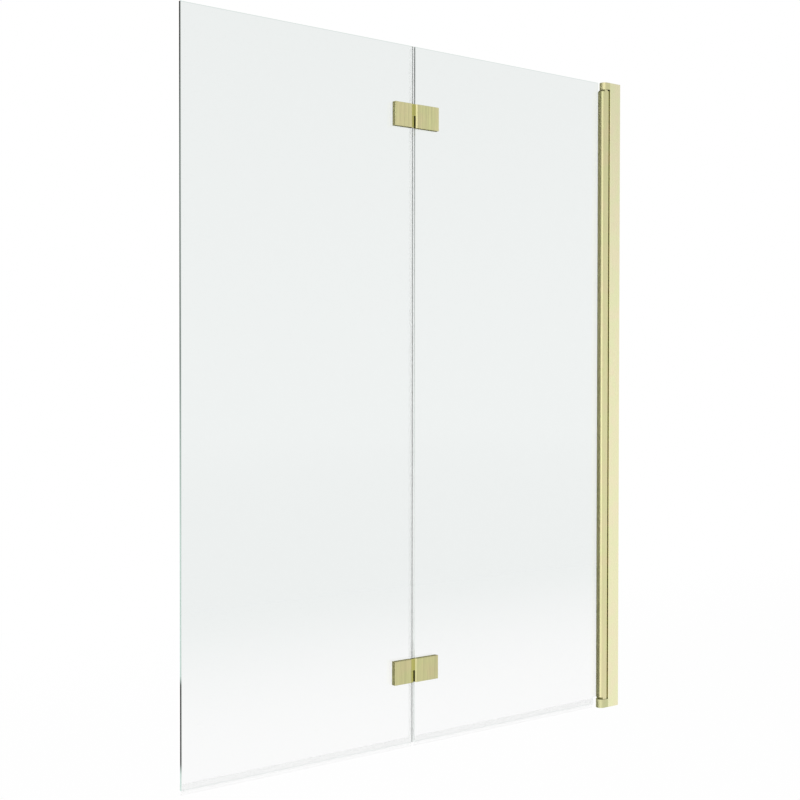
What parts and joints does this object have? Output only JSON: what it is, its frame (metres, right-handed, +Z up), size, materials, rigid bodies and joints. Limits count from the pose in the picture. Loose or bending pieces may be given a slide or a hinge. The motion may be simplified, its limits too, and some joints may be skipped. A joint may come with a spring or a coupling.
{
  "type": "bath screen",
  "caption": "Folding clear-glass bath screen: hinged leaves on a pivoting, adjustable wall profile, with brushed-brass fittings and clear seals.",
  "frame": {"origin": "on the wall plane, at the middle of the wall channel's thickness, level with the bath's rim", "axes": "+X into the wall, so the screen runs to -X; +Y to the bath side, with the hinge plates on -Y; +Z up"},
  "size_m": [1.1, 0.025, 1.4],
  "materials": {
    "brass_extrusion": "pale brushed-brass anodised, fine lines along the length",
    "brass_fitting": "pale brushed brass, fine vertical lines",
    "brass_trim": "pale brushed brass, turned",
    "clear_glass": "clear toughened safety glass with a faint green edge",
    "clear_seal": "clear flexible seal",
    "grey_gasket": "dark grey, soft",
    "pale_nylon": "natural nylon",
    "steel": "stainless steel"
  },
  "bodies": {
    "wall_frame": {"wall_channel": "brass_extrusion", "channel_top_cap": "brass_fitting", "adjusting_screws": "steel", "adjusting_nuts": "steel", "adjusting_screw_caps": "brass_trim"},
    "pivot_frame": {"adjusting_profile": "brass_extrusion", "top_bracket": "brass_fitting", "bottom_bracket": "brass_fitting", "top_bracket_screws": "steel", "bottom_bracket_screws": "steel", "top_pivot_pin": "steel", "bottom_pivot_pin": "steel", "pivot_washers": "pale_nylon", "wiper_seal": "grey_gasket"},
    "inner_leaf": {"pivot_profile": "brass_extrusion", "top_pivot_bush": "pale_nylon", "bottom_pivot_bush": "pale_nylon", "glazing_bond": "grey_gasket", "inner_glass": "clear_glass", "inner_bottom_seal": "clear_seal", "upper_inner_hinge_plate": "brass_fitting", "lower_inner_hinge_plate": "brass_fitting", "inner_hinge_gaskets": "grey_gasket", "inner_glass_discs": "brass_trim", "inner_disc_sleeves": "pale_nylon", "upper_hinge_pin": "steel", "lower_hinge_pin": "steel"},
    "outer_leaf": {"outer_glass": "clear_glass", "outer_bottom_seal": "clear_seal", "fold_seal": "clear_seal", "upper_outer_hinge_plate": "brass_fitting", "lower_outer_hinge_plate": "brass_fitting", "outer_hinge_gaskets": "grey_gasket", "outer_glass_discs": "brass_trim", "outer_disc_sleeves": "pale_nylon", "hinge_bushes": "pale_nylon", "hinge_washers": "pale_nylon"}
  },
  "joints": [
    {"name": "width_adjustment", "type": "slide", "parent": "wall_frame", "child": "pivot_frame", "axis": [-1, 0, 0], "range_m": [0, 0.01]},
    {"name": "wall_pivot", "type": "hinge", "parent": "pivot_frame", "child": "inner_leaf", "pos_m": [-0.0403, 0, 0.7], "axis": [0, 0, -1], "range_deg": [-65, 90]},
    {"name": "fold_hinge", "type": "hinge", "parent": "inner_leaf", "child": "outer_leaf", "pos_m": [-0.58705, -0.0005, 0.7], "axis": [0, 0, 1], "range_deg": [0, 90]}
  ]
}
